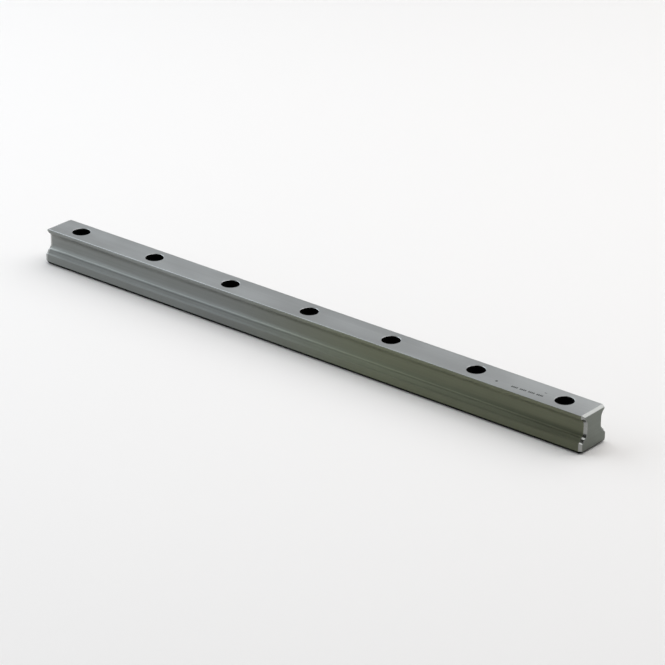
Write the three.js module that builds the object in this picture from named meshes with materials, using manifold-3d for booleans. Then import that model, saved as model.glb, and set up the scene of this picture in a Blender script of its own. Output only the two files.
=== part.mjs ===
// Profiled rail of a linear motion guide: one bar of hardened, ground steel with counterbored
// mounting holes. Millimetres, +X along the rail, +Z up, origin at the middle of the underside.
import * as THREE from 'three';
import { mergeVertices } from 'three/addons/utils/BufferGeometryUtils.js';
import Module from 'manifold-3d';

const wasm = await Module();
wasm.setup();

// Overall size of the bar.
const RAIL_LENGTH = 400;
const RAIL_HEIGHT = 22;
const BASE_WIDTH = 23;
const HEAD_WIDTH = 19.8;
const WAIST_WIDTH = 14.4;

// Row of mounting holes, for M6 socket head screws.
const HOLE_COUNT = 7;
const HOLE_PITCH = 60;
const THROUGH_DIAMETER = 7;
const COUNTERBORE_DIAMETER = 11;
const COUNTERBORE_DEPTH = 9;
const HOLE_SIDES = 40;

// Side grooves that the ball rows run in: one arc under the lip of the head, one above the foot.
// Each arc starts upright at the waist and turns outwards through its sweep.
const GROOVE_RADIUS = 3.6;
const UPPER_GROOVE_HEIGHT = 15.9;
const UPPER_GROOVE_SWEEP = THREE.MathUtils.degToRad(50);
const LIP_UNDERSIDE_HEIGHT = 19.85;
const LOWER_GROOVE_HEIGHT = 11.5;
const LOWER_GROOVE_SWEEP = THREE.MathUtils.degToRad(45);
const ARC_DIVISIONS = 4;

// Steps from the lower groove down to the foot.
const LAND_WIDTH = 19;
const LAND_HEIGHT = 8.5;
const STEP_WIDTH = 20.6;
const STEP_HEIGHT = 6.6;
const FOOT_HEIGHT = 6.05;
const FOOT_CHAMFER_HEIGHT = 1.45;
const FOOT_CHAMFER_WIDTH = 0.9;

// Chamfer all round both cut ends: its length along the rail, and its depth into the section.
const END_CHAMFER_LENGTH = 2;
const END_CHAMFER_DEPTH = 1.2;

// One side of the section, from the underside up to the top face.
// Here x is the distance from the rail's centre plane and y is the height.
function sideOutline() {
  const grooveCentre = WAIST_WIDTH / 2 + GROOVE_RADIUS;
  const waistAngle = Math.PI;
  const lowerAngle = waistAngle + LOWER_GROOVE_SWEEP;
  const upperAngle = waistAngle - UPPER_GROOVE_SWEEP;
  const side = new THREE.Path();
  side.moveTo(BASE_WIDTH / 2 - FOOT_CHAMFER_WIDTH, 0);
  side.lineTo(BASE_WIDTH / 2, FOOT_CHAMFER_HEIGHT);
  side.lineTo(BASE_WIDTH / 2, FOOT_HEIGHT);
  side.lineTo(STEP_WIDTH / 2, STEP_HEIGHT);
  side.lineTo(LAND_WIDTH / 2, LAND_HEIGHT);
  side.absarc(grooveCentre, LOWER_GROOVE_HEIGHT, GROOVE_RADIUS, lowerAngle, waistAngle, true);
  side.absarc(grooveCentre, UPPER_GROOVE_HEIGHT, GROOVE_RADIUS, waistAngle, upperAngle, true);
  side.lineTo(HEAD_WIDTH / 2, LIP_UNDERSIDE_HEIGHT);
  side.lineTo(HEAD_WIDTH / 2, RAIL_HEIGHT);
  return side.getPoints(ARC_DIVISIONS);
}

// The closed section: one side, then its mirror image back down to the underside.
function railSection() {
  const side = sideOutline();
  const mirrored = side.map((point) => new THREE.Vector2(-point.x, point.y)).reverse();
  return new THREE.Shape([...side, ...mirrored]);
}

// The plain bar along X, with both ends chamfered.
function barGeometry() {
  const bar = new THREE.ExtrudeGeometry(railSection(), {
    depth: RAIL_LENGTH - 2 * END_CHAMFER_LENGTH,
    steps: 1,
    bevelEnabled: true,
    bevelSegments: 1,
    bevelThickness: END_CHAMFER_LENGTH,
    bevelSize: END_CHAMFER_DEPTH,
    bevelOffset: -END_CHAMFER_DEPTH,
  });
  bar.translate(0, 0, END_CHAMFER_LENGTH - RAIL_LENGTH / 2);
  const sectionAcrossRail = new THREE.Matrix4().makeBasis(
    new THREE.Vector3(0, 1, 0),
    new THREE.Vector3(0, 0, 1),
    new THREE.Vector3(1, 0, 0),
  );
  return bar.applyMatrix4(sectionAcrossRail);
}

// A closed geometry as a manifold-3d solid, with its shared corners merged.
function toSolid(geometry) {
  const bare = geometry.clone();
  bare.deleteAttribute('normal');
  bare.deleteAttribute('uv');
  const merged = mergeVertices(bare);
  const triVerts = new Uint32Array(merged.index.array);
  const vertProperties = new Float32Array(merged.attributes.position.array);
  return new wasm.Manifold(new wasm.Mesh({ numProp: 3, vertProperties, triVerts }));
}

// A manifold-3d solid as a three.js geometry.
function toGeometry(solid) {
  const mesh = solid.getMesh();
  const geometry = new THREE.BufferGeometry();
  geometry.setAttribute('position', new THREE.BufferAttribute(mesh.vertProperties, 3));
  geometry.setIndex(new THREE.BufferAttribute(mesh.triVerts, 1));
  geometry.computeVertexNormals();
  return geometry;
}

// An upright round cutter between two heights, on the rail's centre plane.
function roundCutter(diameter, bottom, top, x) {
  const cutter = new THREE.CylinderGeometry(diameter / 2, diameter / 2, top - bottom, HOLE_SIDES);
  cutter.rotateX(Math.PI / 2);
  cutter.translate(x, 0, (bottom + top) / 2);
  return toSolid(cutter);
}

// Cuts every mounting hole: a through bore for the screw's shank and a counterbore for its head.
function cutMountingHoles(bar) {
  const clearance = 1;
  const seat = RAIL_HEIGHT - COUNTERBORE_DEPTH;
  let rail = bar;
  for (let i = 0; i < HOLE_COUNT; i += 1) {
    const x = (i - (HOLE_COUNT - 1) / 2) * HOLE_PITCH;
    rail = rail.subtract(roundCutter(THROUGH_DIAMETER, -clearance, RAIL_HEIGHT + clearance, x));
    rail = rail.subtract(roundCutter(COUNTERBORE_DIAMETER, seat, RAIL_HEIGHT + clearance, x));
  }
  return rail;
}

function makeRail() {
  const geometry = toGeometry(cutMountingHoles(toSolid(barGeometry())));
  const groundSteel = new THREE.MeshStandardMaterial({ color: 0xa3a6a4, roughness: 0.32, metalness: 1 });
  const rail = new THREE.Mesh(geometry, groundSteel);
  rail.name = 'guide_rail';
  return rail;
}

const part = new THREE.Group();
part.add(makeRail());

export default part;
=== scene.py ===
"""Looks of the linear guide rail: the ground bar in fine detail, its steel finishes and a plain studio.

Metres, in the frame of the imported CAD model: +X along the rail, +Z up, and the origin in the middle of
the underside.
"""

import math

import bmesh
import bpy
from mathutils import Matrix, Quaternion, Vector

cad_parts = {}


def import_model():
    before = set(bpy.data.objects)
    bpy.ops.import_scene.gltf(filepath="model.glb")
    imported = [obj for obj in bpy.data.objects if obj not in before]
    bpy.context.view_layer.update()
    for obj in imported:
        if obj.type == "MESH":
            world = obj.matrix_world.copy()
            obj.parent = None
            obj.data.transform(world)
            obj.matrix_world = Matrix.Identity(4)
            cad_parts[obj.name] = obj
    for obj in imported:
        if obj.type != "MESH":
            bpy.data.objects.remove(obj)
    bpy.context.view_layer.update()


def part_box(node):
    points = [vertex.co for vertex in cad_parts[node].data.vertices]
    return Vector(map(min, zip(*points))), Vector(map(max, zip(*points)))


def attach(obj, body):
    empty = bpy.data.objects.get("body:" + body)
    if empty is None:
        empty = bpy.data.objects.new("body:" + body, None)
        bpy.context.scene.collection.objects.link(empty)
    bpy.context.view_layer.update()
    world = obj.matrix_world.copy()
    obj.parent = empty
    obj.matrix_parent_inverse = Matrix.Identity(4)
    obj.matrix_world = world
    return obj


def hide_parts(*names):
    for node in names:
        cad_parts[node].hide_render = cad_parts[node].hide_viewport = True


MM = 0.001
NODE = "guide_rail"

# Section of the rail. The overall length, height and base width come from the frame.
HEAD_WIDTH = 19.8 * MM
WAIST_WIDTH = 14.4 * MM
GROOVE_RADIUS = 3.6 * MM
UPPER_GROOVE_HEIGHT = 15.9 * MM
UPPER_GROOVE_SWEEP = math.radians(50)
LIP_UNDERSIDE_HEIGHT = 19.85 * MM
LOWER_GROOVE_HEIGHT = 11.5 * MM
LOWER_GROOVE_SWEEP = math.radians(45)
LAND_WIDTH = 19 * MM
LAND_HEIGHT = 8.5 * MM
STEP_WIDTH = 20.6 * MM
STEP_HEIGHT = 6.6 * MM
FOOT_HEIGHT = 6.05 * MM
FOOT_CHAMFER_HEIGHT = 1.45 * MM
FOOT_CHAMFER_WIDTH = 0.9 * MM
GROOVE_DIVISIONS = 14

# Chamfer round both cut ends, and how much of its depth the rounding into the end face takes up.
END_CHAMFER_LENGTH = 2 * MM
END_CHAMFER_DEPTH = 1.2 * MM
END_FACE_ROUNDING = 0.35 * MM

# How far back from each corner its rounding starts, and the most of an edge that one rounding takes.
TOP_EDGE_ROUNDING = 0.35 * MM
LIP_ROUNDING = 0.6 * MM
EDGE_ROUNDING = 0.18 * MM
CHAMFER_ROUNDING = 0.12 * MM
ROUNDING_DIVISIONS = 3
ROUNDING_SHARE = 0.45
SHARP_ANGLE = math.radians(32)

# Mounting holes.
HOLE_COUNT = 7
HOLE_PITCH = 60 * MM
THROUGH_RADIUS = 3.5 * MM
COUNTERBORE_RADIUS = 5.5 * MM
COUNTERBORE_DEPTH = 9 * MM
HOLE_SIDES = 96
MOUTH_CHAMFER = 0.15 * MM
SEAT_CHAMFER = 0.3 * MM
BASE_MOUTH_CHAMFER = 0.4 * MM
SEAT_CORNER = 0.25 * MM
CUTTER_OVERRUN = 1 * MM

# Etched marks on the top face near one end: a dot, a long row of ticks in groups, and a short row.
MARK_OFFSET = -4.3 * MM
TICK_ROW_START = 147.3 * MM
TICK_ROW_LENGTH = 21.5 * MM
TICK_ROW_SLOPE = 0.04
TICK_PITCH = 1.1 * MM
TICK_WIDTH = 0.8 * MM
TICK_HEIGHT = 1.6 * MM
TICK_GROUP_PITCH = 5.5 * MM
TICK_GROUP_WIDTH = 4.2 * MM
SHORT_ROW_PLACE = 166.75 * MM
SHORT_ROW_OFFSET = 0.8 * MM
SHORT_ROW_LENGTH = 1.8 * MM
SHORT_ROW_HEIGHT = 0.6 * MM
DOT_PLACE = 137.3 * MM
DOT_RADIUS = 0.8 * MM

# Finishes, in the order of the bar's material slots. SCALE is the nearly black finish: real scale in the
# holes, and painted shadow on the foot's chamfers.
SIDE, TOP, CHAMFER, END, BASE, SCALE = range(6)

# Darkest and lightest colour of each finish and of the floor, and the colour of the marks.
# The sides' steel is painted far darker than the top's: painted shade on the same ground steel.
SIDE_SHADES = (0.165, 0.168, 0.158, 1.0), (0.200, 0.204, 0.192, 1.0)
TOP_SHADES = (0.465, 0.475, 0.470, 1.0), (0.525, 0.535, 0.530, 1.0)
CHAMFER_SHADES = (0.268, 0.274, 0.262, 1.0), (0.328, 0.334, 0.322, 1.0)
END_SHADES = (0.140, 0.153, 0.134, 1.0), (0.172, 0.187, 0.165, 1.0)
BASE_SHADES = (0.420, 0.425, 0.410, 1.0), (0.500, 0.505, 0.490, 1.0)
# Nearly black: the holes' scale, and painted shadow on the foot's chamfers.
SCALE_AND_SHADOW_SHADES = (0.002, 0.002, 0.002, 1.0), (0.007, 0.007, 0.006, 1.0)
FLOOR_SHADES = (0.870, 0.845, 0.828, 1.0), (0.880, 0.855, 0.838, 1.0)
MARK_COLOUR = (0.060, 0.063, 0.060, 1.0)

# Half the width over which a mark or a strip of finish fades out.
LIMIT_SOFTNESS = 0.06 * MM

# How squarely a face has to face a way to get that way's finish, as a part of its normal.
END_FACING = 0.9
CHAMFER_FACING = 0.2
TOP_FACING = 0.6
BASE_FACING = 0.95
UNDERCUT_FACING = 0.1

# The grain's directions, and the length of bar that one unit of its UVs stands for.
ALONG_RAIL = (True, False, False)
ACROSS_RAIL = (False, True, False)
GRAIN_UV_LENGTH = 0.1

# Frequencies, per metre: of the grinding's lines and bands with the grain and across it, and of the
# stains, the scale and the floor along each axis.
LINE_FREQUENCIES = (6, 2600)
BAND_FREQUENCIES = (2.5, 420)
STAIN_FREQUENCIES = (22, 60, 60)
SCALE_FREQUENCIES = (420, 420, 300)
FLOOR_FREQUENCIES = (3, 3, 3)

# How the lines and stains vary a ground face: their shares in its shade, the noise values between which
# the shade and the roughness change, and how far the roughness strays. Then the depths of the relief.
STREAK_SHARE = 0.6
STAIN_SHARE = 0.4
SHADE_LIMITS = (0.35, 0.65)
ROUGHNESS_LIMITS = (0.3, 0.7)
ROUGHNESS_SPREAD = 0.04
SCALE_ROUGHNESS = (0.55, 0.72)
LINE_DEPTH = 0.004 * MM
SCALE_DEPTH = 0.05 * MM

# Painted olive tint of the near side's reflection: where it grows, along the rail and across it, and its
# tint.
TINT_START = -70 * MM
TINT_FULL = 70 * MM
TINT_SIDE_LIMIT = 5 * MM
NO_TINT = (1.0, 1.0, 1.0, 1.0)
PAINTED_REFLECTION_TINT = (0.97, 1.0, 0.74, 1.0)

# Strips of the sides with painted highlight (the shelf) and painted shade (the land and its edge): middle
# height, half height, added painted light.
# The sides also get a little painted highlight from the lower groove upwards.
SHELF_HIGHLIGHT_STRIP = (9.0 * MM, 0.25 * MM, 0.5)
LAND_SHADE_STRIP = (7.6 * MM, 1.0 * MM, -0.2)
LAND_EDGE_SHADE_STRIP = (8.4 * MM, 0.2 * MM, -0.22)
WAIST_HIGHLIGHT_START = 10 * MM
WAIST_HIGHLIGHT_FULL = 12.5 * MM
WAIST_HIGHLIGHT = 0.13

# Camera.
CAMERA_AZIMUTH = math.radians(39.604)
CAMERA_ELEVATION = math.radians(24.627)
CAMERA_ROLL = math.radians(0.362)
CAMERA_DISTANCE = 1.8284
CAMERA_LENS = 173.23
CAMERA_AIM = Vector((13.47, 4.66, 11.10)) * MM
SENSOR_WIDTH = 36

# Studio. The floor is a little below the rail.
FLOOR_SIZE = 2.6
FLOOR_GAP = 0.3 * MM
WHITE_LIGHT = (1.0, 1.0, 1.0)
WINDOW_LIGHT = (0.86, 0.93, 1.0)

# The room around the set: its colours, and where it gets lighter, as parts of the direction looked in.
DIM_ROOM = (0.030, 0.032, 0.026, 1.0)
LIT_ROOM = (0.50, 0.51, 0.52, 1.0)
BACKDROP = (0.88, 0.88, 0.89, 1.0)
BACK_GLOW_START = -0.2
BACK_GLOW_FULL = 0.6
RIGHT_GLOW_START = 0.5
RIGHT_GLOW_FULL = 0.8
RIGHT_GLOW = 0.7


# ---------------------------------------------------------------- shape of the bar


def arc(centre, radius, start, end, divisions):
    """Points along an arc in the section plane, both ends included."""
    turns = [start + (end - start) * i / divisions for i in range(divisions + 1)]
    return [centre + Vector((math.cos(turn), math.sin(turn))) * radius for turn in turns]


def side_outline(base_width, height):
    """One side of the section from the underside to the top, as (point, rounding) pairs."""
    groove_x = WAIST_WIDTH / 2 + GROOVE_RADIUS
    lower_centre = Vector((groove_x, LOWER_GROOVE_HEIGHT))
    upper_centre = Vector((groove_x, UPPER_GROOVE_HEIGHT))
    lower_start = math.pi + LOWER_GROOVE_SWEEP
    upper_end = math.pi - UPPER_GROOVE_SWEEP
    lower = arc(lower_centre, GROOVE_RADIUS, lower_start, math.pi, GROOVE_DIVISIONS)
    upper = arc(upper_centre, GROOVE_RADIUS, math.pi, upper_end, GROOVE_DIVISIONS)
    return [
        (Vector((base_width / 2 - FOOT_CHAMFER_WIDTH, 0)), CHAMFER_ROUNDING),
        (Vector((base_width / 2, FOOT_CHAMFER_HEIGHT)), CHAMFER_ROUNDING),
        (Vector((base_width / 2, FOOT_HEIGHT)), EDGE_ROUNDING),
        (Vector((STEP_WIDTH / 2, STEP_HEIGHT)), EDGE_ROUNDING),
        (Vector((LAND_WIDTH / 2, LAND_HEIGHT)), EDGE_ROUNDING),
        *[(point, 0) for point in lower],
        *[(point, 0) for point in upper],
        (Vector((HEAD_WIDTH / 2, LIP_UNDERSIDE_HEIGHT)), LIP_ROUNDING),
        (Vector((HEAD_WIDTH / 2, height)), TOP_EDGE_ROUNDING),
    ]


def closed_outline(side):
    """The whole section: one side, then its mirror image back down."""
    mirrored = [(Vector((-point.x, point.y)), rounding) for point, rounding in reversed(side)]
    return side + mirrored


def inset(outline, depth):
    """The outline moved inwards by depth, with sharp corners kept sharp."""
    moved = []
    for i, (point, rounding) in enumerate(outline):
        arriving = (point - outline[i - 1][0]).normalized()
        leaving = (outline[(i + 1) % len(outline)][0] - point).normalized()
        inward = Vector((-arriving.y - leaving.y, arriving.x + leaving.x)).normalized()
        half_turn = math.acos(max(-1, min(1, arriving.dot(leaving)))) / 2
        moved.append((point + inward * (depth / math.cos(half_turn)), rounding))
    return moved


def round_corner(before, corner, after, rounding):
    """A corner as a short curve that leaves both edges smoothly."""
    shorter = min((before - corner).length, (after - corner).length)
    back = min(rounding, shorter * ROUNDING_SHARE)
    start = corner + (before - corner).normalized() * back
    end = corner + (after - corner).normalized() * back
    steps = [i / ROUNDING_DIVISIONS for i in range(ROUNDING_DIVISIONS + 1)]
    return [start * (1 - s) ** 2 + corner * 2 * s * (1 - s) + end * s**2 for s in steps]


def rounded(outline):
    """The outline's points with every corner that asks for it rounded."""
    points = []
    for i, (point, rounding) in enumerate(outline):
        if rounding:
            before = outline[i - 1][0]
            after = outline[(i + 1) % len(outline)][0]
            points += round_corner(before, point, after, rounding)
        else:
            points.append(point)
    return points


def end_profile(half_length):
    """From the bar's full section out to its end face, as (x, inset) pairs with rounded chamfer edges."""
    start = Vector((half_length - END_CHAMFER_LENGTH, 0))
    corner = Vector((half_length, END_CHAMFER_DEPTH - END_FACE_ROUNDING))
    body = start - Vector((END_CHAMFER_LENGTH, 0))
    face = corner + Vector((0, END_CHAMFER_LENGTH))
    shoulder = round_corner(body, start, corner, CHAMFER_ROUNDING)
    rim = round_corner(start, corner, face, END_FACE_ROUNDING)
    return shoulder + rim


def face_finish(normal, height):
    """Which finish a face of the plain bar has, by the way it faces and how high it is."""
    # The foot's chamfers get the nearly black finish as painted shadow of the contact line.
    if height < FOOT_CHAMFER_HEIGHT and UNDERCUT_FACING < -normal.z < BASE_FACING:
        return SCALE
    if abs(normal.x) > END_FACING:
        return END
    if abs(normal.x) > CHAMFER_FACING:
        return CHAMFER
    if normal.z > TOP_FACING and height > LIP_UNDERSIDE_HEIGHT:
        return TOP
    if -normal.z > BASE_FACING:
        return BASE
    return SIDE


def plain_bar(length, base_width, height):
    """The bar without its holes, as a closed mesh of rings joined by quads and capped at both ends."""
    outline = closed_outline(side_outline(base_width, height))
    right_end = end_profile(length / 2)
    left_end = [(-x, depth) for x, depth in reversed(right_end)]
    shape = bmesh.new()
    rings = []
    for x, depth in left_end + right_end:
        section = rounded(inset(outline, depth))
        rings.append([shape.verts.new((x, point.x, point.y)) for point in section])
    for near, far in zip(rings, rings[1:]):
        for i in range(len(near)):
            j = (i + 1) % len(near)
            shape.faces.new((near[i], near[j], far[j], far[i]))
    shape.faces.new(reversed(rings[0]))
    shape.faces.new(rings[-1])
    bmesh.ops.recalc_face_normals(shape, faces=shape.faces)
    for face in shape.faces:
        face.material_index = face_finish(face.normal, face.calc_center_median().z)
    return shape


def cutter_profile(height):
    """Half section of one hole's cutter, as (radius, height) pairs from its lower end up."""
    over = CUTTER_OVERRUN
    seat = height - COUNTERBORE_DEPTH
    return [
        (THROUGH_RADIUS + BASE_MOUTH_CHAMFER + over, -over),
        (THROUGH_RADIUS, BASE_MOUTH_CHAMFER),
        (THROUGH_RADIUS, seat - SEAT_CHAMFER),
        (THROUGH_RADIUS + SEAT_CHAMFER, seat),
        (COUNTERBORE_RADIUS - SEAT_CORNER, seat),
        (COUNTERBORE_RADIUS, seat + SEAT_CORNER),
        (COUNTERBORE_RADIUS, height - MOUTH_CHAMFER),
        (COUNTERBORE_RADIUS + MOUTH_CHAMFER + over, height + over),
    ]


def add_cutter(shape, x, profile):
    """Adds one hole's cutter to a mesh, as rings about an upright axis at x."""
    rings = []
    turns = [math.tau * i / HOLE_SIDES for i in range(HOLE_SIDES)]
    for radius, z in profile:
        circle = [(x + radius * math.cos(turn), radius * math.sin(turn), z) for turn in turns]
        rings.append([shape.verts.new(point) for point in circle])
    for lower, upper in zip(rings, rings[1:]):
        for i in range(HOLE_SIDES):
            j = (i + 1) % HOLE_SIDES
            shape.faces.new((lower[i], lower[j], upper[j], upper[i]))
    shape.faces.new(reversed(rings[0]))
    shape.faces.new(rings[-1])


def hole_cutters(height):
    """The cutters of all the mounting holes in one mesh."""
    shape = bmesh.new()
    profile = cutter_profile(height)
    for i in range(HOLE_COUNT):
        add_cutter(shape, (i - (HOLE_COUNT - 1) / 2) * HOLE_PITCH, profile)
    bmesh.ops.recalc_face_normals(shape, faces=shape.faces)
    for face in shape.faces:
        at_mouth = face.calc_center_median().z > height
        face.material_index = TOP if at_mouth else SCALE
    return shape


def to_object(name, shape, materials):
    """A linked object made from a bmesh."""
    mesh = bpy.data.meshes.new(name)
    shape.to_mesh(mesh)
    shape.free()
    for material in materials:
        mesh.materials.append(material)
    thing = bpy.data.objects.new(name, mesh)
    bpy.context.scene.collection.objects.link(thing)
    return thing


def apply_modifiers(thing):
    """Replaces an object's mesh by what its modifiers make of it."""
    bpy.context.view_layer.update()
    evaluated = thing.evaluated_get(bpy.context.evaluated_depsgraph_get())
    mesh = bpy.data.meshes.new_from_object(evaluated)
    thing.modifiers.clear()
    thing.data = mesh


def cut_holes(bar, cutters):
    """Cuts the holes for good and removes the cutters."""
    boolean = bar.modifiers.new("holes", "BOOLEAN")
    boolean.operation = "DIFFERENCE"
    boolean.solver = "EXACT"
    boolean.object = cutters
    apply_modifiers(bar)
    bpy.data.objects.remove(cutters)


def smooth_shading(bar):
    """Smooth curves, sharp corners, and flat faces that stay flat beside their rounded edges."""
    for polygon in bar.data.polygons:
        polygon.use_smooth = True
    bar.data.set_sharp_from_angle(angle=SHARP_ANGLE)
    weighted = bar.modifiers.new("flat faces", "WEIGHTED_NORMAL")
    weighted.keep_sharp = True
    apply_modifiers(bar)


def lay_grain(mesh):
    """UVs whose first direction follows the grinding: along the rail, and across it on the ends."""
    layer = mesh.uv_layers.new(name="grain")
    for polygon in mesh.polygons:
        normal = polygon.normal
        grain = Vector(ACROSS_RAIL if abs(normal.x) > CHAMFER_FACING else ALONG_RAIL)
        across = normal.cross(grain).normalized()
        along = across.cross(normal)
        for loop in polygon.loop_indices:
            point = mesh.vertices[mesh.loops[loop].vertex_index].co / GRAIN_UV_LENGTH
            layer.data[loop].uv = (point.dot(along), point.dot(across))


def make_rail(materials):
    """The finished bar, in the place of the CAD node that it stands for."""
    low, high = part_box(NODE)
    size = high - low
    bar = to_object("ground_rail", plain_bar(size.x, size.y, size.z), materials)
    cutters = to_object("hole_cutters", hole_cutters(size.z), materials)
    cut_holes(bar, cutters)
    smooth_shading(bar)
    lay_grain(bar.data)
    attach(bar, "root")
    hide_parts(NODE)


# ---------------------------------------------------------------- materials


def add(tree, kind, inputs=None, **settings):
    """Adds a node with its settings, and sets or links its inputs by name or number."""
    node = tree.nodes.new(kind)
    for key, value in settings.items():
        setattr(node, key, value)
    for key, value in (inputs or {}).items():
        if isinstance(value, bpy.types.NodeSocket):
            tree.links.new(value, node.inputs[key])
        else:
            node.inputs[key].default_value = value
    return node


def math_node(tree, operation, *values):
    """The result of a maths node."""
    return add(tree, "ShaderNodeMath", dict(enumerate(values)), operation=operation).outputs[0]


def remap(tree, value, from_low, from_high, to_low, to_high):
    """A value moved from one range to another, smoothly and without going outside it."""
    inputs = {
        "Value": value,
        "From Min": from_low,
        "From Max": from_high,
        "To Min": to_low,
        "To Max": to_high,
    }
    return add(tree, "ShaderNodeMapRange", inputs, interpolation_type="SMOOTHSTEP").outputs[0]


def mix_colour(tree, factor, first, second):
    """Two colours mixed by a factor."""
    node = add(tree, "ShaderNodeMix", data_type="RGBA")
    sockets = (node.inputs["Factor"], node.inputs[6], node.inputs[7])
    for socket, value in zip(sockets, (factor, first, second)):
        if isinstance(value, bpy.types.NodeSocket):
            tree.links.new(value, socket)
        else:
            socket.default_value = value
    return node.outputs[2]


def noise(tree, position, frequencies, detail):
    """Noise with its own frequency, per metre, along each axis."""
    scaled = add(tree, "ShaderNodeVectorMath", {0: position, 1: frequencies}, operation="MULTIPLY")
    inputs = {"Vector": scaled.outputs[0], "Scale": 1.0, "Detail": detail}
    return add(tree, "ShaderNodeTexNoise", inputs).outputs["Fac"]


def link_colour(tree, colour, shader):
    """Makes a colour the shader's base colour."""
    tree.links.new(colour, shader.inputs["Base Color"])


def new_material(name):
    """An empty material with the place on the object, and its shader linked to the output."""
    material = bpy.data.materials.new(name)
    material.use_nodes = True
    tree = material.node_tree
    tree.nodes.clear()
    shader = add(tree, "ShaderNodeBsdfPrincipled")
    add(tree, "ShaderNodeOutputMaterial", {"Surface": shader.outputs[0]})
    position = add(tree, "ShaderNodeTexCoord").outputs["Object"]
    return material, tree, shader, position


def set_metal(tree, shader, anisotropy):
    """Bare metal whose highlights stretch across the grinding lines."""
    shader.inputs["Metallic"].default_value = 1.0
    shader.inputs["Anisotropic"].default_value = anisotropy
    shader.inputs["Anisotropic Rotation"].default_value = 0.25
    tangent = add(tree, "ShaderNodeTangent", direction_type="UV_MAP", uv_map="grain")
    tree.links.new(tangent.outputs[0], shader.inputs["Tangent"])


def grained_noise(tree, position, grain, frequencies, detail):
    """Noise drawn out along the grain, from its frequencies with the grain and across it."""
    with_grain, across_grain = frequencies
    per_axis = [with_grain if is_grain else across_grain for is_grain in grain]
    return noise(tree, position, per_axis, detail)


def ground_finish(tree, position, grain):
    """Fine grinding lines, broader bands and soft stains, each around one half."""
    lines = grained_noise(tree, position, grain, LINE_FREQUENCIES, 3.0)
    bands = grained_noise(tree, position, grain, BAND_FREQUENCIES, 2.0)
    stains = noise(tree, position, STAIN_FREQUENCIES, 3.0)
    return lines, bands, stains


def add_bump(tree, shader, height, depth):
    """A fine relief, its depth in metres."""
    bump = add(tree, "ShaderNodeBump", {"Strength": 1.0, "Distance": depth, "Height": height})
    tree.links.new(bump.outputs[0], shader.inputs["Normal"])


def ground_steel(name, shades, roughness, anisotropy, grain=ALONG_RAIL):
    """Ground steel between two shades, with lines and soft stains that vary its colour and roughness."""
    material, tree, shader, position = new_material(name)
    set_metal(tree, shader, anisotropy)
    lines, bands, stains = ground_finish(tree, position, grain)
    streaks = math_node(tree, "MULTIPLY", math_node(tree, "ADD", lines, bands), 0.5)
    streaks = math_node(tree, "MULTIPLY", streaks, STREAK_SHARE)
    blend = math_node(tree, "ADD", streaks, math_node(tree, "MULTIPLY", stains, STAIN_SHARE))
    shade = remap(tree, blend, *SHADE_LIMITS, 0.0, 1.0)
    colour = mix_colour(tree, shade, *shades)
    smoothest = roughness - ROUGHNESS_SPREAD
    roughest = roughness + ROUGHNESS_SPREAD
    rough = remap(tree, stains, *ROUGHNESS_LIMITS, smoothest, roughest)
    link_colour(tree, colour, shader)
    tree.links.new(rough, shader.inputs["Roughness"])
    add_bump(tree, shader, lines, LINE_DEPTH)
    return material, tree, shader, position, colour


def inside(tree, value, middle, half):
    """One where a value is within half of the middle, else zero, with a soft limit."""
    away = math_node(tree, "ABSOLUTE", math_node(tree, "SUBTRACT", value, middle))
    return remap(tree, away, half - LIMIT_SOFTNESS, half + LIMIT_SOFTNESS, 1.0, 0.0)


def painted_tint_amount(tree, along, across):
    """How much painted olive tint of the reflection there is: zero towards one end and on the far side,
    one where it is strongest.
    """
    near_side = remap(tree, across, -TINT_SIDE_LIMIT, TINT_SIDE_LIMIT, 1.0, 0.0)
    towards_end = remap(tree, along, TINT_START, TINT_FULL, 0.0, 1.0)
    return math_node(tree, "MULTIPLY", towards_end, near_side)


def painted_strip(tree, height, strip):
    """The painted light that one strip of the sides adds: painted highlight above zero, painted shade
    below it.
    """
    middle, half, painted_light = strip
    return math_node(tree, "MULTIPLY", inside(tree, height, middle, half), painted_light)


def painted_side_light(tree, height, tint_amount):
    """What the side's colour is scaled by: painted highlight on the shelf and the waist, painted shade on
    the land away from the olive tint.
    """
    land = painted_strip(tree, height, LAND_SHADE_STRIP)
    land_edge = painted_strip(tree, height, LAND_EDGE_SHADE_STRIP)
    painted_shade = math_node(tree, "ADD", land, land_edge)
    untinted = math_node(tree, "SUBTRACT", 1.0, tint_amount)
    painted_light = math_node(tree, "MULTIPLY_ADD", painted_shade, untinted, 1.0)
    painted_light = math_node(tree, "ADD", painted_light, painted_strip(tree, height, SHELF_HIGHLIGHT_STRIP))
    waist = remap(tree, height, WAIST_HIGHLIGHT_START, WAIST_HIGHLIGHT_FULL, 0.0, WAIST_HIGHLIGHT)
    return math_node(tree, "ADD", painted_light, waist)


def side_steel():
    """Raceway steel painted darker than the top as painted shade, with strips of painted highlight and
    painted shade, and a painted olive tint of its reflection towards one end of the near side.
    """
    material, tree, shader, position, colour = ground_steel(
        "raceway_steel", SIDE_SHADES, roughness=0.40, anisotropy=0.99
    )
    split = add(tree, "ShaderNodeSeparateXYZ", {0: position})
    # Painted olive tint of the reflection, only on the near side and growing towards +X.
    tint_amount = painted_tint_amount(tree, split.outputs["X"], split.outputs["Y"])
    tint = mix_colour(tree, tint_amount, NO_TINT, PAINTED_REFLECTION_TINT)
    # Painted highlight and painted shade in strips along the sides.
    painted_light = painted_side_light(tree, split.outputs["Z"], tint_amount)
    tinted = add(tree, "ShaderNodeVectorMath", {0: colour, 1: tint}, operation="MULTIPLY")
    painted_colour = add(tree, "ShaderNodeVectorMath", {0: tinted.outputs[0], "Scale": painted_light}, operation="SCALE")
    link_colour(tree, painted_colour.outputs[0], shader)
    return material


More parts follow.
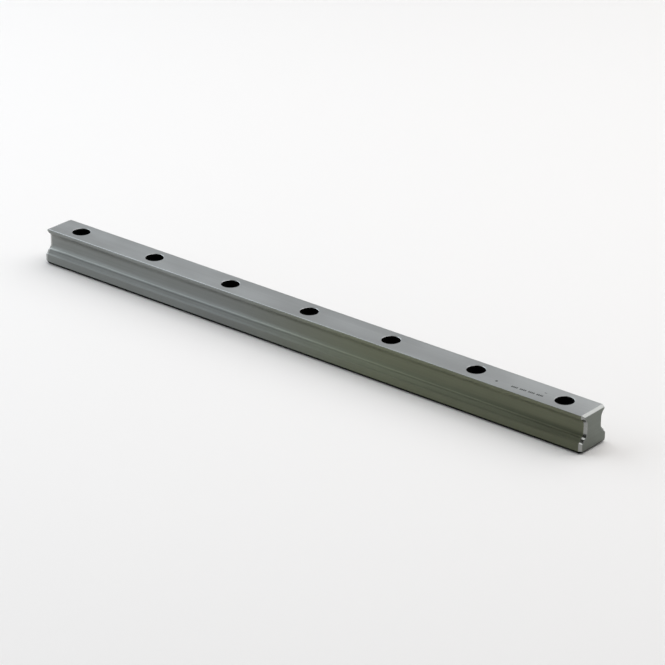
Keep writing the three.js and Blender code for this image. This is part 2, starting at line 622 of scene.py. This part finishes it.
def rectangle(tree, along, across, centre, size):
    """A mask of a rectangle on the top face, its length along the rail."""
    length, width = size
    within_length = inside(tree, along, centre[0], length / 2)
    within_width = inside(tree, across, centre[1], width / 2)
    return math_node(tree, "MULTIPLY", within_length, within_width)


def stripes(tree, distance, pitch, width, middle):
    """A mask of stripes one pitch apart along a distance, the first of them about its middle."""
    phase = math_node(tree, "MODULO", distance, pitch)
    return inside(tree, phase, middle, width / 2)


def tick_rows(tree, along, across):
    """A mask of the two rows of ticks. The long one runs at a slight slope and is in groups."""
    drift = math_node(tree, "MULTIPLY_ADD", along, -TICK_ROW_SLOPE, TICK_ROW_SLOPE * TICK_ROW_START)
    level = math_node(tree, "ADD", across, drift)
    row_centre = (TICK_ROW_START + TICK_ROW_LENGTH / 2, MARK_OFFSET)
    row = rectangle(tree, along, level, row_centre, (TICK_ROW_LENGTH, TICK_HEIGHT))
    from_start = math_node(tree, "SUBTRACT", along, TICK_ROW_START)
    groups = stripes(tree, from_start, TICK_GROUP_PITCH, TICK_GROUP_WIDTH, TICK_GROUP_WIDTH / 2)
    grouped_row = math_node(tree, "MULTIPLY", row, groups)
    short_centre = (SHORT_ROW_PLACE, SHORT_ROW_OFFSET)
    short_row = rectangle(tree, along, across, short_centre, (SHORT_ROW_LENGTH, SHORT_ROW_HEIGHT))
    ticks = stripes(tree, from_start, TICK_PITCH, TICK_WIDTH, TICK_PITCH / 2)
    return math_node(tree, "MULTIPLY", ticks, math_node(tree, "ADD", grouped_row, short_row))


def etched_marks(tree, position):
    """A mask of all the etched marks: the rows of ticks and the dot."""
    split = add(tree, "ShaderNodeSeparateXYZ", {0: position})
    along, across = split.outputs["X"], split.outputs["Y"]
    centre = (DOT_PLACE, MARK_OFFSET, 0)
    flat = add(tree, "ShaderNodeCombineXYZ", {"X": along, "Y": across})
    reach = add(tree, "ShaderNodeVectorMath", {0: flat.outputs[0], 1: centre}, operation="DISTANCE")
    dot = inside(tree, reach.outputs["Value"], 0.0, DOT_RADIUS)
    return math_node(tree, "ADD", tick_rows(tree, along, across), dot)


def top_steel():
    """Ground top face with its etched marks."""
    material, tree, shader, position, colour = ground_steel(
        "top_steel", TOP_SHADES, roughness=0.34, anisotropy=0.6
    )
    marks = etched_marks(tree, position)
    link_colour(tree, mix_colour(tree, marks, colour, MARK_COLOUR), shader)
    return material


def chamfer_steel():
    """Ground chamfers round the ends, brighter than the sawn faces inside them."""
    material, *_ = ground_steel(
        "chamfer_steel", CHAMFER_SHADES, roughness=0.28, anisotropy=0.3, grain=ACROSS_RAIL
    )
    return material


def end_steel():
    """Sawn end faces, with the saw's lines across the rail."""
    material, *_ = ground_steel(
        "cut_steel", END_SHADES, roughness=0.32, anisotropy=0.3, grain=ACROSS_RAIL
    )
    return material


def base_steel():
    """The ground underside."""
    material, *_ = ground_steel("base_steel", BASE_SHADES, roughness=0.38, anisotropy=0.6)
    return material


def black_scale_and_shadow():
    """The nearly black finish: scale where nothing was ground in the holes, and painted shadow along the
    foot's chamfers.
    """
    material, tree, shader, position = new_material("black_scale_and_shadow")
    patches = noise(tree, position, SCALE_FREQUENCIES, 4.0)
    link_colour(tree, mix_colour(tree, patches, *SCALE_AND_SHADOW_SHADES), shader)
    rough = remap(tree, patches, *ROUGHNESS_LIMITS, *SCALE_ROUGHNESS)
    tree.links.new(rough, shader.inputs["Roughness"])
    # No specular reflection, so the painted shadow on the foot's chamfers stays black.
    shader.inputs["Specular IOR Level"].default_value = 0.0
    add_bump(tree, shader, patches, SCALE_DEPTH)
    return material


def floor_paint():
    """A plain off-white surface, very slightly uneven in tone."""
    material, tree, shader, position = new_material("pale_floor")
    tone = noise(tree, position, FLOOR_FREQUENCIES, 3.0)
    link_colour(tree, mix_colour(tree, tone, *FLOOR_SHADES), shader)
    shader.inputs["Roughness"].default_value = 0.6
    shader.inputs["Specular IOR Level"].default_value = 0.2
    return material


# ---------------------------------------------------------------- studio


def make_floor():
    """A square of floor, a little below the rail."""
    half = FLOOR_SIZE / 2
    shape = bmesh.new()
    corners = [(-half, -half), (half, -half), (half, half), (-half, half)]
    shape.faces.new([shape.verts.new((x, y, -FLOOR_GAP)) for x, y in corners])
    floor = to_object("floor", shape, [floor_paint()])


def make_camera():
    """The scene's camera, looking at its aim from its distance."""
    back = Vector((
        math.sin(CAMERA_AZIMUTH) * math.cos(CAMERA_ELEVATION),
        -math.cos(CAMERA_AZIMUTH) * math.cos(CAMERA_ELEVATION),
        math.sin(CAMERA_ELEVATION),
    ))
    data = bpy.data.cameras.new("camera")
    data.sensor_width = SENSOR_WIDTH
    data.lens = CAMERA_LENS
    data.clip_start = 0.05
    data.clip_end = 100
    camera = bpy.data.objects.new("camera", data)
    camera.rotation_mode = "QUATERNION"
    camera.rotation_quaternion = (-back).to_track_quat("-Z", "Y") @ Quaternion((0, 0, 1), CAMERA_ROLL)
    camera.location = CAMERA_AIM + back * CAMERA_DISTANCE
    bpy.context.scene.collection.objects.link(camera)
    bpy.context.scene.camera = camera


def softbox(name, centre, facing, size, brightness, colour):
    """A soft panel light that the camera doesn't see. Its brightness is what a mirror shows of it."""
    width, height = size
    data = bpy.data.lights.new(name, "AREA")
    data.shape = "RECTANGLE"
    data.size = width
    data.size_y = height
    data.energy = brightness * math.pi * width * height
    data.color = colour
    light = bpy.data.objects.new(name, data)
    light.location = centre
    light.rotation_mode = "QUATERNION"
    light.rotation_quaternion = (-Vector(facing)).to_track_quat("Z", "Y")
    light.visible_camera = False
    bpy.context.scene.collection.objects.link(light)


def make_lights():
    """A panel overhead, one high behind the rail, a cool window at its left and a strip far in front."""
    softbox(
        "overhead_panel",
        centre=(0.1, 0.32, 1.6),
        facing=(0, 0, -1),
        size=(1.8, 1.5),
        brightness=1.9,
        colour=WHITE_LIGHT,
    )
    softbox(
        "back_softbox",
        centre=(0.5, 1.4, 1.15),
        facing=(-0.3, -0.75, -0.62),
        size=(2.2, 1.0),
        brightness=1.45,
        colour=WHITE_LIGHT,
    )
    softbox(
        "left_window",
        centre=(-1.2, -0.5, 0.93),
        facing=(1, 0, 0),
        size=(2.0, 1.54),
        brightness=2.3,
        colour=WINDOW_LIGHT,
    )
    softbox(
        "front_strip",
        centre=(0, -2.2, 0.35),
        facing=(0, 1, 0),
        size=(1.2, 0.6),
        brightness=0.9,
        colour=WHITE_LIGHT,
    )


def make_world():
    """A dim room around the set, brighter behind it and on its right. The camera itself sees it pale."""
    world = bpy.data.worlds.new("studio")
    bpy.context.scene.world = world
    world.use_nodes = True
    tree = world.node_tree
    tree.nodes.clear()
    direction = add(tree, "ShaderNodeTexCoord").outputs["Generated"]
    split = add(tree, "ShaderNodeSeparateXYZ", {0: direction})
    behind = remap(tree, split.outputs["Y"], BACK_GLOW_START, BACK_GLOW_FULL, 0.0, 1.0)
    beside = remap(tree, split.outputs["X"], RIGHT_GLOW_START, RIGHT_GLOW_FULL, 0.0, RIGHT_GLOW)
    lit = math_node(tree, "MAXIMUM", behind, beside)
    glow = mix_colour(tree, lit, DIM_ROOM, LIT_ROOM)
    room = add(tree, "ShaderNodeBackground", {"Color": glow, "Strength": 1.0})
    backdrop = add(tree, "ShaderNodeBackground", {"Color": BACKDROP, "Strength": 1.0})
    seen = add(tree, "ShaderNodeLightPath").outputs["Is Camera Ray"]
    mixed = add(tree, "ShaderNodeMixShader", {0: seen, 1: room.outputs[0], 2: backdrop.outputs[0]})
    add(tree, "ShaderNodeOutputWorld", {"Surface": mixed.outputs[0]})


def main():
    """Builds the studio and the rail."""
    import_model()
    make_camera()
    make_floor()
    make_world()
    make_lights()
    finishes = [side_steel(), top_steel(), chamfer_steel(), end_steel(), base_steel(), black_scale_and_shadow()]
    make_rail(finishes)
    bpy.context.scene.view_settings.view_transform = "Standard"


main()
